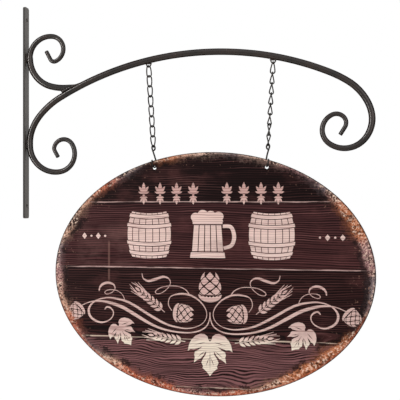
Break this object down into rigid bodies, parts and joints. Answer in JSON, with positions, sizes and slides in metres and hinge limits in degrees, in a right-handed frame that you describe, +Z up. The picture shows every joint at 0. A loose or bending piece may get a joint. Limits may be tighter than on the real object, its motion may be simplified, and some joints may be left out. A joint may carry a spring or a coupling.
{
  "type": "pub sign",
  "caption": "Oval sheet-metal pub sign hung by twisted-link chains and S-hooks from a forged scroll bracket with a screw-on wall strip.",
  "frame": {"origin": "on the wall, midway between the two screw holes", "axes": "+X out from the wall along the arm, -Y the way the printed face looks, +Z up"},
  "size_m": [0.441, 0.014, 0.4876],
  "materials": {
    "bracket_lacquer": "satin",
    "chain_wire": "satin",
    "panel_enamel": "satin"
  },
  "bodies": {
    "bracket": {"wall_strip": "bracket_lacquer", "arm_rod": "bracket_lacquer", "upper_scroll": "bracket_lacquer", "strip_upper_weld": "bracket_lacquer", "strip_lower_weld": "bracket_lacquer", "arm_weld": "bracket_lacquer", "left_eyelet": "bracket_lacquer", "right_eyelet": "bracket_lacquer"},
    "left_link_1": {"left_link_1": "chain_wire"},
    "left_link_2": {"left_link_2": "chain_wire"},
    "left_link_3": {"left_link_3": "chain_wire"},
    "left_link_4": {"left_link_4": "chain_wire"},
    "left_link_5": {"left_link_5": "chain_wire"},
    "left_link_6": {"left_link_6": "chain_wire"},
    "left_link_7": {"left_link_7": "chain_wire"},
    "left_link_8": {"left_link_8": "chain_wire"},
    "right_link_1": {"right_link_1": "chain_wire"},
    "right_link_2": {"right_link_2": "chain_wire"},
    "right_link_3": {"right_link_3": "chain_wire"},
    "right_link_4": {"right_link_4": "chain_wire"},
    "right_link_5": {"right_link_5": "chain_wire"},
    "right_link_6": {"right_link_6": "chain_wire"},
    "right_link_7": {"right_link_7": "chain_wire"},
    "right_link_8": {"right_link_8": "chain_wire"},
    "left_hook": {"left_hook": "chain_wire"},
    "right_hook": {"right_hook": "chain_wire"},
    "sign_panel": {"sign_panel": "panel_enamel"}
  },
  "joints": [
    {"name": "left_swing", "type": "hinge", "parent": "bracket", "child": "left_link_1", "pos_m": [0.16325, 0, 0.05412], "axis": [1, 0, 0], "range_deg": [-25, 25]},
    {"name": "left_sway", "type": "hinge", "parent": "left_link_1", "child": "left_link_8", "pos_m": [0.16632, 0, 0.00509], "axis": [0, 1, 0], "range_deg": [-8, 8]},
    {"name": "left_bend_1", "type": "hinge", "parent": "left_link_1", "child": "left_link_2", "pos_m": [0.16402, 0, 0.04252], "axis": [0, 1, 0], "range_deg": [-1.2, 1.2]},
    {"name": "left_bend_2", "type": "hinge", "parent": "left_link_2", "child": "left_link_3", "pos_m": [0.16479, 0, 0.03005], "axis": [0, 1, 0], "range_deg": [-1.2, 1.2]},
    {"name": "left_bend_3", "type": "hinge", "parent": "left_link_3", "child": "left_link_4", "pos_m": [0.16555, 0, 0.01757], "axis": [0, 1, 0], "range_deg": [-1.2, 1.2]},
    {"name": "left_bend_4", "type": "hinge", "parent": "left_link_4", "child": "left_link_5", "pos_m": [0.16632, 0, 0.00509], "axis": [0, 1, 0], "range_deg": [-1.2, 1.2]},
    {"name": "left_bend_5", "type": "hinge", "parent": "left_link_5", "child": "left_link_6", "pos_m": [0.16709, 0, -0.00738], "axis": [0, 1, 0], "range_deg": [-1.2, 1.2]},
    {"name": "left_bend_6", "type": "hinge", "parent": "left_link_6", "child": "left_link_7", "pos_m": [0.16786, 0, -0.01986], "axis": [0, 1, 0], "range_deg": [-1.2, 1.2]},
    {"name": "left_hook_turn", "type": "hinge", "parent": "left_link_8", "child": "left_hook", "pos_m": [0.16939, 0, -0.04481], "axis": [0, 1, 0], "range_deg": [-9, 9]},
    {"name": "panel_tilt", "type": "hinge", "parent": "left_hook", "child": "sign_panel", "pos_m": [0.171, 0, -0.07088], "axis": [1, 0, 0], "range_deg": [-3, 12]},
    {"name": "right_swing", "type": "hinge", "parent": "bracket", "child": "right_link_1", "pos_m": [0.31875, 0, 0.05412], "axis": [1, 0, 0], "range_deg": [-25, 25]},
    {"name": "right_sway", "type": "hinge", "parent": "right_link_1", "child": "right_link_8", "pos_m": [0.31568, 0, 0.00509], "axis": [0, 1, 0], "range_deg": [-8, 8]},
    {"name": "right_bend_1", "type": "hinge", "parent": "right_link_1", "child": "right_link_2", "pos_m": [0.31798, 0, 0.04252], "axis": [0, 1, 0], "range_deg": [-1.2, 1.2]},
    {"name": "right_bend_2", "type": "hinge", "parent": "right_link_2", "child": "right_link_3", "pos_m": [0.31721, 0, 0.03005], "axis": [0, 1, 0], "range_deg": [-1.2, 1.2]},
    {"name": "right_bend_3", "type": "hinge", "parent": "right_link_3", "child": "right_link_4", "pos_m": [0.31645, 0, 0.01757], "axis": [0, 1, 0], "range_deg": [-1.2, 1.2]},
    {"name": "right_bend_4", "type": "hinge", "parent": "right_link_4", "child": "right_link_5", "pos_m": [0.31568, 0, 0.00509], "axis": [0, 1, 0], "range_deg": [-1.2, 1.2]},
    {"name": "right_bend_5", "type": "hinge", "parent": "right_link_5", "child": "right_link_6", "pos_m": [0.31491, 0, -0.00738], "axis": [0, 1, 0], "range_deg": [-1.2, 1.2]},
    {"name": "right_bend_6", "type": "hinge", "parent": "right_link_6", "child": "right_link_7", "pos_m": [0.31414, 0, -0.01986], "axis": [0, 1, 0], "range_deg": [-1.2, 1.2]},
    {"name": "right_hook_turn", "type": "hinge", "parent": "right_link_8", "child": "right_hook", "pos_m": [0.31261, 0, -0.04481], "axis": [0, 1, 0], "range_deg": [-9, 9]}
  ],
  "couplings": [
    {"joint": "left_bend_1", "follows": "left_sway", "ratio": 0.14286},
    {"joint": "left_bend_2", "follows": "left_sway", "ratio": 0.14286},
    {"joint": "left_bend_3", "follows": "left_sway", "ratio": 0.14286},
    {"joint": "left_bend_4", "follows": "left_sway", "ratio": 0.14286},
    {"joint": "left_bend_5", "follows": "left_sway", "ratio": 0.14286},
    {"joint": "left_bend_6", "follows": "left_sway", "ratio": 0.14286},
    {"joint": "left_hook_turn", "follows": "left_sway", "ratio": -1.0429},
    {"joint": "right_swing", "follows": "left_swing", "ratio": 1},
    {"joint": "right_sway", "follows": "left_sway", "ratio": 1},
    {"joint": "right_bend_1", "follows": "left_sway", "ratio": 0.14286},
    {"joint": "right_bend_2", "follows": "left_sway", "ratio": 0.14286},
    {"joint": "right_bend_3", "follows": "left_sway", "ratio": 0.14286},
    {"joint": "right_bend_4", "follows": "left_sway", "ratio": 0.14286},
    {"joint": "right_bend_5", "follows": "left_sway", "ratio": 0.14286},
    {"joint": "right_bend_6", "follows": "left_sway", "ratio": 0.14286},
    {"joint": "right_hook_turn", "follows": "left_sway", "ratio": -1.0429}
  ]
}
